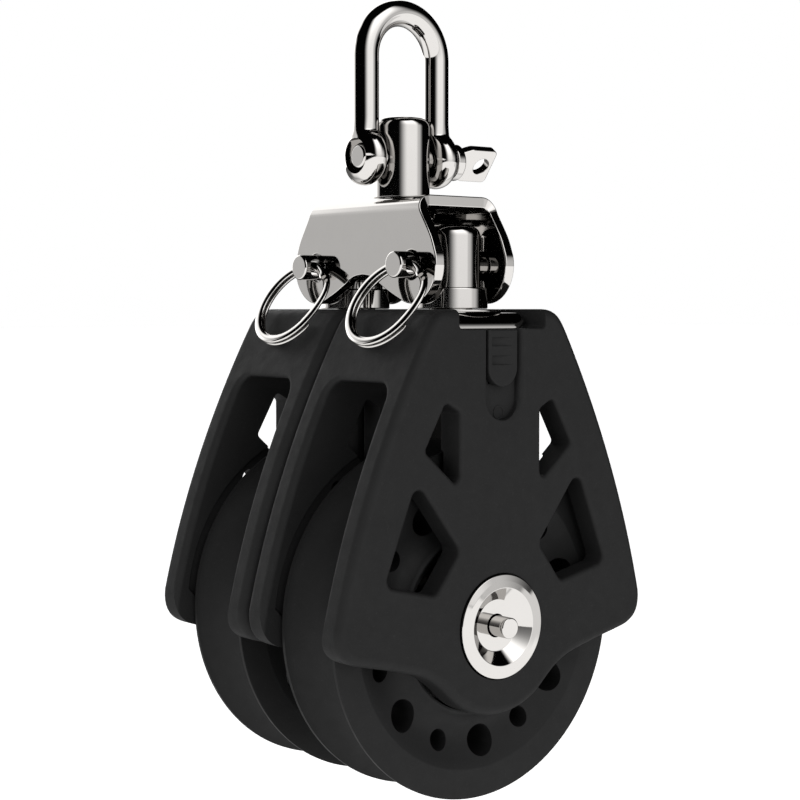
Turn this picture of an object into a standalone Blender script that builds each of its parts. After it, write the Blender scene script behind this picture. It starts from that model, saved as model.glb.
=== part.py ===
"""Double swivel sheave block: two ball-bearing blocks hung side by side from one swivelling bracket
and a D shackle. Lengths below are millimetres; the model is in metres, +Z up, X across the
outline, Y along the sheave axles. The world origin is the inner crown of the shackle bow."""

import math

import bmesh
import bpy
from mathutils import Matrix, Vector

# ---- driving dimensions, mm, measured from the axle line (z = 0) ----
HANG = 50.95  # height of the bow's inner crown above the axles
BLOCK_Y = 6.8  # each block's centre plane from the middle
BLOCK_T = 13.2  # thickness of one block
EDGE_R = 0.8  # outer edge rounding of the case
CHEEK_IN = 4.1  # cheek's rim, from the block's centre plane
RECESS_IN = 4.42  # cheek's recessed inner wall
HOOD_LOW = 20.3  # underside of the hood
WINDOW_R = 0.35  # rounding round the cheek windows
SHEAVE_R = 15.0
SHEAVE_HALF = 3.63
GROOVE_R = 12.3
BORE_R = 7.55
BALL_PITCH = 6.4
BALL_R = 1.05
BALLS = 8
RACE_R = 5.3
AXLE_R = 2.4
CAP_R = 4.35
RIVET_R = 0.88
STRAP_T = 0.7
STRAP_OUT = 4.68  # outer face of the strap's legs
STRAP_TOP = 26.0
CLEVIS_Z = 30.0
CLEVIS_R = 1.12
CLEVIS_HOLE = 1.24
POST_R = 2.52
COLLAR_R = 3.15
RING_R = 3.85
RING_LEAN = 32.5
RING_YAW = 3.0
RING_X = -5.0
PLATE_TOP = 35.87
PLATE_T = 0.95
FLANGE_X = 4.32
HEAD_R = 2.5
HEAD_TOP = 43.0
SHACKLE_Z = 39.45
WIRE_R = 1.15
LEG_X = 3.9
ARCH_Z = 48.2
TAB_TURN = 37.0

MM = 0.001
COLOURS = {
    "nylon": ((0.025, 0.025, 0.026, 1), 0.0, 0.6),
    "nylon_sheave": ((0.02, 0.02, 0.021, 1), 0.0, 0.5),
    "steel": ((0.72, 0.71, 0.69, 1), 1.0, 0.12),
    "acetal": ((0.5, 0.5, 0.48, 1), 0.0, 0.4),
}

for old in list(bpy.data.objects):
    bpy.data.objects.remove(old, do_unlink=True)

root = bpy.data.objects.new("axle_line", None)
bpy.context.scene.collection.objects.link(root)
root.location = (0, 0, -HANG * MM)


# ---- helpers ----
def material_for(name, kind):
    colour, metal, rough = COLOURS[kind]
    mat = bpy.data.materials.new(name)
    mat.use_nodes = True
    shader = mat.node_tree.nodes["Principled BSDF"]
    shader.inputs["Base Color"].default_value = colour
    shader.inputs["Metallic"].default_value = metal
    shader.inputs["Roughness"].default_value = rough
    return mat


def mesh_object(name, verts, faces, kind=None):
    mesh = bpy.data.meshes.new(name)
    mesh.from_pydata([Vector(v) for v in verts], [], faces)
    bm = bmesh.new()
    bm.from_mesh(mesh)
    bmesh.ops.remove_doubles(bm, verts=bm.verts, dist=1e-4)
    bmesh.ops.recalc_face_normals(bm, faces=bm.faces)
    if bm.calc_volume(signed=True) < 0:
        bmesh.ops.reverse_faces(bm, faces=bm.faces)
    bm.to_mesh(mesh)
    bm.free()
    obj = bpy.data.objects.new(name, mesh)
    bpy.context.scene.collection.objects.link(obj)
    if kind:
        mesh.materials.append(material_for(name, kind))
    return obj


AXES = {
    "X": lambda r, c, s, a: (a, r * c, r * s),
    "Y": lambda r, c, s, a: (r * s, a, r * c),
    "Z": lambda r, c, s, a: (r * c, r * s, a),
}


def lathe(name, profile, axis, n, kind=None, turn=0.0):
    """Closed (radius, along) profile turned about an axis through the origin."""
    verts, index = [], []
    place = AXES[axis]
    for r, a in profile:
        if r < 1e-6:
            index.append([len(verts)] * n)
            verts.append(place(0, 1, 0, a))
            continue
        row = []
        for k in range(n):
            t = 2 * math.pi * k / n + turn
            row.append(len(verts))
            verts.append(place(r, math.cos(t), math.sin(t), a))
        index.append(row)
    faces = []
    m = len(profile)
    for i in range(m):
        a, b = index[i], index[(i + 1) % m]
        for k in range(n):
            quad = [a[k], a[(k + 1) % n], b[(k + 1) % n], b[k]]
            face = list(dict.fromkeys(quad))
            if len(face) > 2:
                faces.append(face)
    return mesh_object(name, verts, faces, kind)


def loft(name, rings, kind=None, loop=False):
    """Rings of equal point count joined in order and capped, or joined end to end."""
    n = len(rings[0])
    verts = [p for ring in rings for p in ring]
    faces = []
    spans = len(rings) if loop else len(rings) - 1
    for i in range(spans):
        j = (i + 1) % len(rings)
        for k in range(n):
            faces.append([i * n + k, i * n + (k + 1) % n, j * n + (k + 1) % n, j * n + k])
    if not loop:
        faces.append(list(range(n))[::-1])
        faces.append([(len(rings) - 1) * n + k for k in range(n)])
    return mesh_object(name, verts, faces, kind)


PLANES = {
    "XZ": lambda u, v, a: (u, a, v),
    "YZ": lambda u, v, a: (a, u, v),
    "XY": lambda u, v, a: (u, v, a),
}


def area(points):
    return 0.5 * sum(
        points[i - 1][0] * p[1] - p[0] * points[i - 1][1] for i, p in enumerate(points)
    )


def inset(points, d):
    """Outline moved in by d (out when negative), mitred at each corner."""
    sign = 1 if area(points) > 0 else -1
    out = []
    n = len(points)
    for i in range(n):
        p0, p1, p2 = Vector(points[i - 1]), Vector(points[i]), Vector(points[(i + 1) % n])
        a, b = (p1 - p0).normalized(), (p2 - p1).normalized()
        na, nb = Vector((-a.y, a.x)) * sign, Vector((-b.y, b.x)) * sign
        m = na + nb
        m *= 1 / max(m.dot(na), 0.3)
        out.append(tuple(p1 + m * d))
    return out


def prism(name, outline, a0, a1, plane, kind=None, r0=0.0, r1=0.0, steps=3):
    """Outline extruded from a0 to a1, with either end's edge rounded by its own radius."""
    rings = []

    def ring(d, a):
        rings.append([PLANES[plane](u, v, a) for u, v in (inset(outline, d) if d else outline)])

    way = 1 if a1 > a0 else -1
    for end, at, r, s in ((0, a0, r0, way), (1, a1, r1, -way)):
        turns = range(steps + 1) if end == 0 else range(steps, -1, -1)
        if r == 0:
            ring(0, at)
            continue
        for k in turns:
            t = math.pi / 2 * k / steps
            ring(r * (1 - math.sin(t)), at + s * r * (1 - math.cos(t)))
    return loft(name, rings, kind)


def flared(name, outline, half, depth, plane, r):
    """A cutter through both faces at +-half, opened out by a quarter round of radius r at each face."""
    rings = []

    def ring(d, a):
        rings.append([PLANES[plane](u, v, a) for u, v in (inset(outline, -d) if d else outline)])

    ring(r + 0.6, -half - 0.6)
    for k in range(3):
        t = math.pi / 2 * k / 2
        ring(r * (1 - math.sin(t)), -half + r * (1 - math.cos(t)))
    for k in range(2, -1, -1):
        t = math.pi / 2 * k / 2
        ring(r * (1 - math.sin(t)), half - r * (1 - math.cos(t)))
    ring(r + 0.6, half + 0.6)
    return loft(name, rings)


def box(name, low, high, kind=None):
    (x0, y0, z0), (x1, y1, z1) = low, high
    return prism(name, [(x0, z0), (x1, z0), (x1, z1), (x0, z1)], y0, y1, "XZ", kind)


def arc(cx, cy, r, a0, a1, n):
    return [
        (
            cx + r * math.cos(math.radians(a0 + (a1 - a0) * k / n)),
            cy + r * math.sin(math.radians(a0 + (a1 - a0) * k / n)),
        )
        for k in range(n + 1)
    ]


def rounded(points, r, steps=3):
    """Polygon with every corner rounded by r (or by its own radius, given third)."""
    out = []
    n = len(points)
    for i in range(n):
        p = Vector(points[i][:2])
        a = (Vector(points[i - 1][:2]) - p).normalized()
        b = (Vector(points[(i + 1) % n][:2]) - p).normalized()
        rr = points[i][2] if len(points[i]) > 2 else r
        if rr <= 0:
            out.append(tuple(p))
            continue
        half = a.angle(b) / 2
        reach = rr / math.tan(half)
        start, end = p + a * reach, p + b * reach
        centre = p + (a + b).normalized() * rr / math.sin(half)
        t0 = math.atan2(start.y - centre.y, start.x - centre.x)
        t1 = math.atan2(end.y - centre.y, end.x - centre.x)
        turn = (t1 - t0 + math.pi) % (2 * math.pi) - math.pi
        for k in range(steps + 1):
            t = t0 + turn * k / steps
            out.append((centre.x + rr * math.cos(t), centre.y + rr * math.sin(t)))
    return out


def combine(obj, others, operation):
    for other in others:
        mod = obj.modifiers.new("join", "BOOLEAN")
        mod.operation = operation
        mod.solver = "EXACT"
        mod.object = other
    bpy.context.view_layer.update()
    graph = bpy.context.evaluated_depsgraph_get()
    mesh = bpy.data.meshes.new_from_object(obj.evaluated_get(graph))
    obj.modifiers.clear()
    mats = list(obj.data.materials)
    obj.data = mesh
    mesh.name = obj.name
    if not mesh.materials:
        for mat in mats:
            mesh.materials.append(mat)
    for other in others:
        bpy.data.objects.remove(other, do_unlink=True)
    return obj


def cut(obj, *others):
    return combine(obj, others, "DIFFERENCE")


def join(obj, *others):
    return combine(obj, others, "UNION")


def cylinder(name, r, a0, a1, axis, n, kind=None, centre=(0, 0, 0), turn=0.0):
    obj = lathe(name, [(0, a0), (r, a0), (r, a1), (0, a1)], axis, n, kind, turn)
    move(obj, centre)
    return obj


def move(obj, by):
    obj.data.transform(Matrix.Translation(Vector(by)))
    return obj


def turn_z(obj):
    obj.data.transform(Matrix.Rotation(math.pi, 4, "Z"))
    return obj


def place(obj, parent, origin=(0, 0, 0)):
    """Takes a piece built in millimetres to metres and parents it, with its origin at the point."""
    obj.data.transform(Matrix.Scale(MM, 4) @ Matrix.Translation(-Vector(origin)))
    obj.location = Vector(origin) * MM
    obj.parent = parent
    return obj


def empty(name, parent, at, half_turn=False):
    obj = bpy.data.objects.new(name, None)
    bpy.context.scene.collection.objects.link(obj)
    obj.location = Vector(at) * MM
    if half_turn:
        obj.rotation_euler = (0, 0, math.pi)
    obj.parent = parent
    return obj


# ---- shared outlines ----
def side(z):
    return 16.935 - 0.205 * z - 0.0071 * z * z


def case_outline():
    half = arc(0, 0, 7.5, -90, -54, 3)
    half += [(5.6, -4.6), (7.4, -3.48), (13.4, -1.83)]
    half += [(15.2, -1.33), (16.3, -0.5), (16.65, 0.8)]
    half += [(side(z), z) for z in (4.5, 9, 13.5, 18, 22.3, 24.2)]
    half += [(7.15, 25.35), (6.55, 26.05), (5.6, 26.3)]
    return half + [(-x, z) for x, z in reversed(half[1:])]


def mirrored(points):
    return [(-x, z) for x, z in points]


UPPER = rounded([(6.2, 18.85), (8.4, 14.95), (5.05, 11.85), (4.75, 12.6), (4.75, 18.0)], 0.45, 1)
LOWER = rounded([(9.25, 12.6), (12.4, 4.3), (7.25, 3.15), (4.75, 6.5)], 0.7, 1)


# ---- one block, built about its own centre plane with its lock face at -Y ----
def make_case(name):
    half = BLOCK_T / 2
    body = prism(name, case_outline(), -half, half, "XZ", "nylon", EDGE_R, EDGE_R, 2)
    rope = rounded(
        [(-CHEEK_IN, -12, 0), (CHEEK_IN, -12, 0), (CHEEK_IN, HOOD_LOW), (-CHEEK_IN, HOOD_LOW)],
        1.0, 3,
    )
    cuts = [prism("rope", rope, -18, 18, "YZ")]
    for sx in (1, -1):
        for sy in (1, -1):
            rings = []
            for z in (-9, 0, 4.5, 9, 13.5, 18, 20.3, 20.8):
                w, c = side(max(z, 0.5)), 0.6 if z < 20.5 else 0.05
                flat = [(w - c, -0.4), (w - c, 0), (w - 0.3 * c, 0.3 * c)]
                flat += [(w, c), (w + 1, c), (w + 1, -0.4)]
                rings.append([(sx * x, sy * (CHEEK_IN + y), z) for x, y in flat])
            cuts.append(loft("soft", rings))
    recess = [(side(z) - 1.75, z) for z in (1.5, 9, 17)] + [(8.0, 18.9), (6.0, 19.6)]
    low = [(3.0, -5.6), (5.5, -2.6), (12.6, -0.6), (14.2, 0.3)]
    outline = low + recess
    outline = outline + [(-x, z) for x, z in reversed(outline)]
    cuts.append(prism("recess", outline, -RECESS_IN, RECESS_IN, "XZ"))
    for shape in (UPPER, LOWER):
        for pts in (shape, mirrored(shape)):
            cuts.append(flared("window", pts, half, 1, "XZ", WINDOW_R))
    channel = rounded([(-4.7, 24.7), (4.7, 24.7), (4.7, 28, 0), (-4.7, 28, 0)], 0.3, 2)
    cuts.append(prism("channel", channel, -8, 8, "XZ"))
    leg = arc(0, 0, 3.75, 180, 360, 10) + [(3.75, 24.9), (-3.75, 24.9)]
    slot0, slot1 = STRAP_OUT - STRAP_T - 0.12, STRAP_OUT + 0.12
    cuts.append(prism("leg", leg, -slot1, -slot0, "XZ"))
    cuts.append(prism("leg", leg, slot0, slot1, "XZ"))
    cuts.append(cylinder("pocket", 3.4, 22.6, 26, "Z", 20))
    cuts.append(cylinder("bore", AXLE_R + 0.12, -8, 8, "Y", 20))
    cuts.append(cylinder("seat", CAP_R + 0.08, -8, -half + 1.15, "Y", 28))
    cuts.append(cylinder("seat", CAP_R + 0.08, half - 1.15, 8, "Y", 28))
    track = arc(0, 19.05, 2.05, 180, 360, 8) + [(2.05, 25.4), (-2.05, 25.4)]
    cuts.append(prism("track", track, -8, -half + 0.72, "XZ"))
    cuts.append(box("lug_way", (-0.9, -6.2, 20.12), (0.9, -3, 24.45)))
    return cut(body, *cuts)


def make_strap(name):
    o, t, top = STRAP_OUT, STRAP_T, STRAP_TOP
    outer = [(-o, -6)] + arc(-o + 1.3, top - 1.3, 1.3, 180, 90, 4)
    outer += arc(o - 1.3, top - 1.3, 1.3, 90, 0, 4) + [(o, -6)]
    inner = [(o - t, -6)] + arc(o - 1.3, top - 1.3, 1.3 - t, 0, 90, 3)
    inner += arc(-o + 1.3, top - 1.3, 1.3 - t, 90, 180, 3) + [(-o + t, -6)]
    body = prism(name, outer + inner, -4.35, 4.35, "YZ", "steel")
    keep = arc(0, 0, 3.55, 180, 360, 10) + [(3.55, 24.82), (4.35, 24.82), (4.35, 27)]
    keep += [(-4.35, 27), (-4.35, 24.82), (-3.55, 24.82)]
    keep = prism("keep", keep, -8, 8, "XZ")
    body = combine(body, [keep], "INTERSECT")
    return cut(
        body,
        cylinder("axle_hole", AXLE_R + 0.07, -8, 8, "Y", 20),
        cylinder("post_hole", 1.97, 20, 30, "Z", 20),
        box("lug_slot", (-1.1, -6, 20.0), (1.1, -3, 24.6)),
    )


def make_post(name):
    prof = [(0, 23.0), (3.05, 23.0), (3.05, 25.02), (1.85, 25.02), (1.85, 26.32)]
    prof += [(COLLAR_R, 26.32), (COLLAR_R, 28.0), (COLLAR_R - 0.2, 28.2)]
    prof += [(POST_R, 28.22), (POST_R, 32.2), (POST_R - 0.35, 32.95), (POST_R - 1.1, 33.3), (0, 33.3)]
    body = lathe(name, prof, "Z", 24, "steel")
    hole = cylinder("hole", CLEVIS_HOLE, -6, 6, "X", 16, centre=(0, 0, CLEVIS_Z), turn=0.1)
    return cut(body, hole)


def make_cap(name, proud):
    """Stainless disc in the cheek's seat; the dished one stands proud of the face."""
    y = BLOCK_T / 2
    if proud:
        prof = [(1.0, y - 1.05), (CAP_R, y - 1.05), (CAP_R, y + 0.08)]
        prof += [(CAP_R - 0.12, y + 0.2), (3.24, y + 0.36), (2.15, y - 0.62), (1.0, y - 0.62)]
    else:
        prof = [(1.0, y - 1.05), (CAP_R, y - 1.05), (CAP_R, y - 0.03), (1.0, y - 0.03)]
    return lathe(name, prof, "Y", 28, "steel")


def make_sheave(name):
    """Grooved wheel with a dished web and two sizes of lightening hole."""
    c = 15.67
    rho = c - GROOVE_R
    groove = []
    for k in range(6):
        y = 3.3 * math.cos(math.pi * k / 5)
        groove.append((c - math.sqrt(rho * rho - y * y), y))
    prof = [(BORE_R, -3.55), (7.9, -3.55), (8.7, -2.85), (9.8, -2.7), (11.2, -2.98)]
    prof += [(12.6, -SHEAVE_HALF), (SHEAVE_R, -SHEAVE_HALF)]
    prof = prof + groove[::-1] + [(r, -y) for r, y in reversed(prof)]
    body = lathe(name, prof, "Y", 36, "nylon_sheave")
    holes = []
    for k in range(14):
        t = math.radians(175.4 + 360 / 14 * k)
        at = (10.35 * math.sin(t), 0, 10.35 * math.cos(t))
        size = 1.35 if k % 2 == 0 else 0.9
        holes.append(cylinder("hole", size, -6, 6, "Y", 8, centre=at, turn=t + 0.17))
    return cut(body, *holes)


def make_race(name):
    prof = [(AXLE_R + 0.08, -3.7), (RACE_R, -3.7), (RACE_R, 3.7), (AXLE_R + 0.08, 3.7)]
    return lathe(name, prof, "Y", 24, "steel")


def make_cage(name):
    prof = [(5.65, -1.55), (7.15, -1.55), (7.15, 1.55), (5.65, 1.55)]
    body = lathe(name, prof, "Y", 20, "acetal", turn=0.11)
    holes = []
    for k in range(BALLS // 2):
        hole = cylinder("hole", BALL_R + 0.17, -9, 9, "Z", 8)
        hole.data.transform(Matrix.Rotation(2 * math.pi * k / BALLS, 4, "Y"))
        holes.append(hole)
    return cut(body, *holes)


def make_ball(name, k):
    bm = bmesh.new()
    bmesh.ops.create_icosphere(bm, subdivisions=2, radius=BALL_R)
    mesh = bpy.data.meshes.new(name)
    bm.to_mesh(mesh)
    bm.free()
    obj = bpy.data.objects.new(name, mesh)
    bpy.context.scene.collection.objects.link(obj)
    mesh.materials.append(material_for(name, "acetal"))
    t = 2 * math.pi * k / BALLS
    return move(obj, (BALL_PITCH * math.sin(t), 0, BALL_PITCH * math.cos(t)))


def make_slider(name):
    """Lock slider: a round-ended plate in the track, with two finger scoops and a lug behind."""
    face = -BLOCK_T / 2 - 0.1
    plate = arc(0, 21.5, 1.68, 180, 360, 8) + [(1.68, 24.65), (-1.68, 24.65)]
    body = prism(name, plate, face, face + 0.76, "XZ", "nylon", 0.12, 0, 2)
    body = join(body, box("lug", (-0.75, face + 0.5, 22.7), (0.75, -3.45, 24.35)))
    scoops = []
    for low, high in ((21.7, 22.5), (23.25, 24.0)):
        wedge = [(-1.25, face - 0.3), (1.05, face - 0.3), (1.05, face), (-1.25, face + 0.3)]
        scoops.append(prism("scoop", wedge, low, high, "XY"))
    return cut(body, *scoops)


def ring_frame(sign):
    """Matrix of one split ring: local X out of its plane, local -Z from the pin hole to its bottom."""
    lean = Matrix.Rotation(math.radians(RING_LEAN), 4, "Y")
    yaw = Matrix.Rotation(math.radians(RING_YAW), 4, "Z")
    return Matrix.Translation(Vector((RING_X, sign * BLOCK_Y, CLEVIS_Z - 0.02))) @ yaw @ lean


def make_ring(name, sign):
    """Two turns of flattened wire lying side by side, hung by its top through the pin's hole."""
    turns, n, m = 1.93, 40, 6
    rings = []
    for i in range(n + 1):
        f = i / n
        t = 2 * math.pi * turns * f + math.radians(-52)
        shift = (f - 0.5) * turns * 0.42
        ring = []
        for k in range(m):
            a = 2 * math.pi * (k + 0.5) / m
            radial = 0.37 * math.cos(a) * 1.0
            axial = 0.18 * math.sin(a) + shift
            rr = RING_R + radial
            ring.append((axial, rr * math.sin(t), rr * math.cos(t) - RING_R + 0.08))
        rings.append(ring)
    obj = loft(name, rings, "steel")
    obj.data.transform(ring_frame(sign))
    return obj


def make_clevis(name, sign):
    prof = [(0, -6.25), (CLEVIS_R - 0.15, -6.25), (CLEVIS_R, -6.1), (CLEVIS_R, 4.5)]
    prof += [(1.85, 4.5), (1.85, 5.1), (1.6, 5.3), (0, 5.3)]
    body = move(lathe(name, prof, "X", 20, "steel"), (0, sign * BLOCK_Y, CLEVIS_Z))
    hole = cylinder("hole", 0.78, -12, 12, "Y", 12, centre=(RING_X, 0, CLEVIS_Z))
    return cut(body, hole)


def make_bracket(name):
    x, t, top = FLANGE_X, PLATE_T, PLATE_TOP
    outer = [(-x, 25)] + arc(-x + 1.4, top - 1.4, 1.4, 180, 90, 4)
    outer += arc(x - 1.4, top - 1.4, 1.4, 90, 0, 4) + [(x, 25)]
    inner = [(x - t, 25)] + arc(x - 1.4, top - 1.4, 1.4 - t, 0, 90, 3)
    inner += arc(-x + 1.4, top - 1.4, 1.4 - t, 90, 180, 3) + [(-x + t, 25)]
    body = prism(name, outer + inner, -11, 11, "XZ", "steel")
    half = [(0, 29.25), (0.9, 29.15), (1.7, 28.9), (2.5, 28.42), (4.7, 27.3)]
    half += arc(BLOCK_Y, 30.05, 3.3, 245, 375, 7) + [(9.35, 32.3), (8.1, 34.3), (7.75, 35.0)]
    half += [(7.55, 35.6), (7.45, 36.5)]
    keep = half + [(-y, z) for y, z in reversed(half[1:])]
    body = combine(body, [prism("keep", keep, -9, 9, "YZ")], "INTERSECT")
    holes = [
        cylinder("pin_hole", CLEVIS_HOLE, -9, 9, "X", 16, centre=(0, s * BLOCK_Y, CLEVIS_Z))
        for s in (1, -1)
    ]
    return cut(body, cylinder("head_hole", 2.0, 30, 40, "Z", 24), *holes)


def make_head_post(name):
    base = HEAD_TOP - 0.9
    prof = [(0, 33.75), (1.88, 33.75), (1.88, 35.98), (HEAD_R, 35.98), (HEAD_R, base)]
    rise = [(HEAD_R - 0.9 * (1 - math.cos(t)), base + 0.9 * math.sin(t)) for t in (0.8, 1.57)]
    prof += rise + [(0, HEAD_TOP)]
    body = lathe(name, prof, "Z", 24, "steel")
    return cut(body, cylinder("hole", 1.22, -6, 6, "X", 16, centre=(0, 0, SHACKLE_Z), turn=0.1))


def make_head_nut(name):
    prof = [(1.97, 33.95), (2.9, 33.95), (3.15, 34.2), (3.15, 34.8), (1.97, 34.8)]
    return lathe(name, prof, "Z", 20, "steel")


def make_shackle_pin(name):
    prof = [(0, -4.8), (0.95, -4.8), (1.08, -4.65), (1.08, 5.3), (1.82, 5.3)]
    prof += [(1.82, 6.05), (1.65, 6.2), (0, 6.2)]
    shaft = lathe(name, prof, "X", 20, "steel")
    tab = rounded([(5.9, -1.15), (7.3, -1.68), (10.2, -1.68), (10.2, 1.68), (7.3, 1.68), (5.9, 1.15)], 0.4, 2)
    tab = prism("tab", tab, -0.42, 0.42, "XZ")
    tab = cut(tab, cylinder("eye", 0.8, -3, 3, "Y", 12, centre=(8.95, 0, 0)))
    tab.data.transform(Matrix.Rotation(math.radians(TAB_TURN), 4, "X"))
    return move(join(shaft, tab), (0, 0, SHACKLE_Z))


def make_bow(name):
    """D bow: one swept wire, and a rounded ear round each end of the pin."""
    path = [(-LEG_X, SHACKLE_Z + 0.3, 90), (-LEG_X, ARCH_Z, 90)]
    path += [
        (LEG_X * math.cos(math.radians(a)), ARCH_Z + LEG_X * math.sin(math.radians(a)), a - 90)
        for a in (162, 144, 126, 108, 90, 72, 54, 36, 18)
    ]
    path += [(LEG_X, ARCH_Z, -90), (LEG_X, SHACKLE_Z + 0.3, -90)]
    rings = []
    for x, z, a in path:
        nx, nz = -math.sin(math.radians(a)), math.cos(math.radians(a))
        rings.append(
            [
                (
                    x + nx * WIRE_R * math.cos(2 * math.pi * k / 12),
                    WIRE_R * math.sin(2 * math.pi * k / 12),
                    z + nz * WIRE_R * math.cos(2 * math.pi * k / 12),
                )
                for k in range(12)
            ]
        )
    body = loft(name, rings, "steel")
    ears = []
    for s in (-1, 1):
        prof = [(0, 2.76), (1.8, 2.76), (2.3, 3.1), (2.46, 3.9), (2.3, 4.7), (1.7, 5.15), (0, 5.15)]
        ears.append(move(lathe("ear", [(r, s * a) for r, a in prof], "X", 22), (0, 0, SHACKLE_Z)))
    body = join(body, *ears)
    return cut(
        body,
        cylinder("pin_way", 1.2, -8, 8, "X", 16, centre=(0, 0, SHACKLE_Z)),
        cylinder("recess", 1.45, -8, -4.7, "X", 16, centre=(0, 0, SHACKLE_Z)),
    )


# ---- the head ----
pin_at = (0, 0, SHACKLE_Z)
place(make_bow("shackle_bow"), root, pin_at)
place(make_shackle_pin("shackle_pin"), root, pin_at)
place(make_head_post("head_post"), root, pin_at)
place(make_head_nut("head_nut"), root, pin_at)
place(make_bracket("head_bracket"), root, (0, 0, PLATE_TOP))

# ---- the two blocks: the rear one is the front one turned half round ----
for which, sign in (("front", -1), ("rear", 1)):
    clevis_at = (0, sign * BLOCK_Y, CLEVIS_Z)
    place(make_clevis(which + "_clevis_pin", sign), root, clevis_at)
    place(make_ring(which + "_split_ring", sign), root, (RING_X, sign * BLOCK_Y, CLEVIS_Z))
    block = empty(which + "_block", root, (0, sign * BLOCK_Y, 0), half_turn=sign > 0)
    place(make_case(which + "_case"), block)
    place(make_strap(which + "_strap"), block)
    place(make_post(which + "_post"), block, (0, 0, CLEVIS_Z))
    washer = [(1.95, 26.06), (4.3, 26.06), (4.3, 26.26), (1.95, 26.26)]
    place(lathe(which + "_post_washer", washer, "Z", 24, "steel"), block)
    tube = [(RIVET_R + 0.12, -5.45), (AXLE_R, -5.45), (AXLE_R, 5.45), (RIVET_R + 0.12, 5.45)]
    place(lathe(which + "_axle", tube, "Y", 20, "steel"), block)
    outer_cap = make_cap(which + "_outer_cap", True)
    outer_cap.data.transform(Matrix.Rotation(math.pi, 4, "Z"))
    place(outer_cap, block)
    place(make_cap(which + "_inner_cap", False), block)
    end = BLOCK_T / 2
    rivet = [(0, -end - 1.2), (RIVET_R - 0.15, -end - 1.2), (RIVET_R, -end - 1.05)]
    rivet += [(RIVET_R, end - 0.05), (0, end - 0.05)]
    place(lathe(which + "_axle_rivet", rivet, "Y", 16, "steel"), block)
    place(make_slider(which + "_lock_slider"), block)
    place(make_sheave(which + "_sheave"), block)
    place(make_race(which + "_inner_race"), block)
    place(make_cage(which + "_ball_cage"), block)
    for k in range(BALLS):
        place(make_ball(f"{which}_ball_{k + 1:02d}", k), block)
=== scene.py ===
"""Visual model of the twin swivel sheave block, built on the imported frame.

Every piece is made here in millimetres about the block's own axle line, at the sizes the frame's
boxes give, and then taken to metres in the row frame."""
import math

import bmesh
import bpy
from mathutils import Matrix, Vector


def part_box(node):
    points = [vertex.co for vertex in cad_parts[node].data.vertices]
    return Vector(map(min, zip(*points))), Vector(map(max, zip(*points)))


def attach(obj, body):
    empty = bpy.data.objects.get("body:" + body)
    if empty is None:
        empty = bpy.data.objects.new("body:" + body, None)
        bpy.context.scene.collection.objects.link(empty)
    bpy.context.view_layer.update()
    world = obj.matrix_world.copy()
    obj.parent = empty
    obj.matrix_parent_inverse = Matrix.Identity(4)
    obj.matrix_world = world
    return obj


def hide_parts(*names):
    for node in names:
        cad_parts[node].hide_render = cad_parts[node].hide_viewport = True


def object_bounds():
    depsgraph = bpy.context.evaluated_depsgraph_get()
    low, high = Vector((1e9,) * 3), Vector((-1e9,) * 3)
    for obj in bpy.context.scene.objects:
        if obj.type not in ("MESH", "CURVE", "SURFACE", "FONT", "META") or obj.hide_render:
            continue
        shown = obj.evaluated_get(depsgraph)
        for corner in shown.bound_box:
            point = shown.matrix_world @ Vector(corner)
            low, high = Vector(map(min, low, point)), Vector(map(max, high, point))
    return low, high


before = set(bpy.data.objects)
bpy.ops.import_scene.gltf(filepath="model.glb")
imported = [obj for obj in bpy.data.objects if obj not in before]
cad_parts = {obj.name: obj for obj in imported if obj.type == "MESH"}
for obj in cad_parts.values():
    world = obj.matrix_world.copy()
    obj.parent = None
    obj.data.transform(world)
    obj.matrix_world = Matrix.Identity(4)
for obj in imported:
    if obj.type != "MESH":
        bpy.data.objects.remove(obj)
cad_low, cad_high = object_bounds()


# ---------------------------------------------------------------- sizes read from the frame, mm
def corners(node):
    low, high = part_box(node)
    return Vector(low) * 1000, Vector(high) * 1000


def middle(node):
    low, high = corners(node)
    return (low + high) / 2


def span(node):
    low, high = corners(node)
    return high - low


AXLE = middle("front_sheave")
HANG = -AXLE.z
BLOCK_Y = -AXLE.y
BLOCK_T = 13.2
HALF = BLOCK_T / 2
SHEAVE_R = span("front_sheave").x / 2
SHEAVE_HALF = span("front_sheave").y / 2
BORE_R = 7.55
CAP_R = span("front_outer_cap").x / 2
AXLE_R = span("front_axle").x / 2
RIVET_R = span("front_axle_rivet").x / 2
RIVET_TIP = -BLOCK_Y - corners("front_axle_rivet")[0].y
RACE_R = span("front_inner_race").x / 2
BALL_R = 1.05
BALL_PITCH = 6.4
BALLS = 8
CHEEK_IN, RECESS_IN, HOOD_LOW, HOOD_TOP = 4.1, 4.42, 20.3, 26.3
STRAP_T, STRAP_OUT, STRAP_TOP = 0.7, 4.68, corners("front_strap")[1].z + HANG
CLEVIS_Z = middle("front_clevis_pin").z + HANG
CLEVIS_R, CLEVIS_HOLE = 1.12, 1.24
POST_R, COLLAR_R = 2.52, span("front_post").x / 2
RING_R, RING_LEAN, RING_YAW, RING_X = 3.85, 32.5, 3.0, -5.0
PLATE_TOP = corners("head_bracket")[1].z + HANG
PLATE_T, FLANGE_X = 0.95, span("head_bracket").x / 2
HEAD_R, HEAD_TOP = span("head_post").x / 2, corners("head_post")[1].z + HANG
SHACKLE_Z = 39.45
WIRE_R, LEG_X, ARCH_Z = 1.15, 3.9, 48.2
PIN_HOLE, KEY_R, KEY_COLLAR_R = 1.2, 1.08, 1.64
TAB_TURN = 37.0
EDGE_R, WINDOW_R = 0.85, 0.35
TRACK_FLOOR, SLIDER_PROUD = -HALF + 0.72, 0.1
SLOT_LOW, SLOT_HIGH = 20.0, 24.6
VIEW_YAW, VIEW_PITCH = 38.18, -2.92
OFF_GRID = 0.013        # a slight turn that keeps a cutter's facets off the seams of what it cuts


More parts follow.
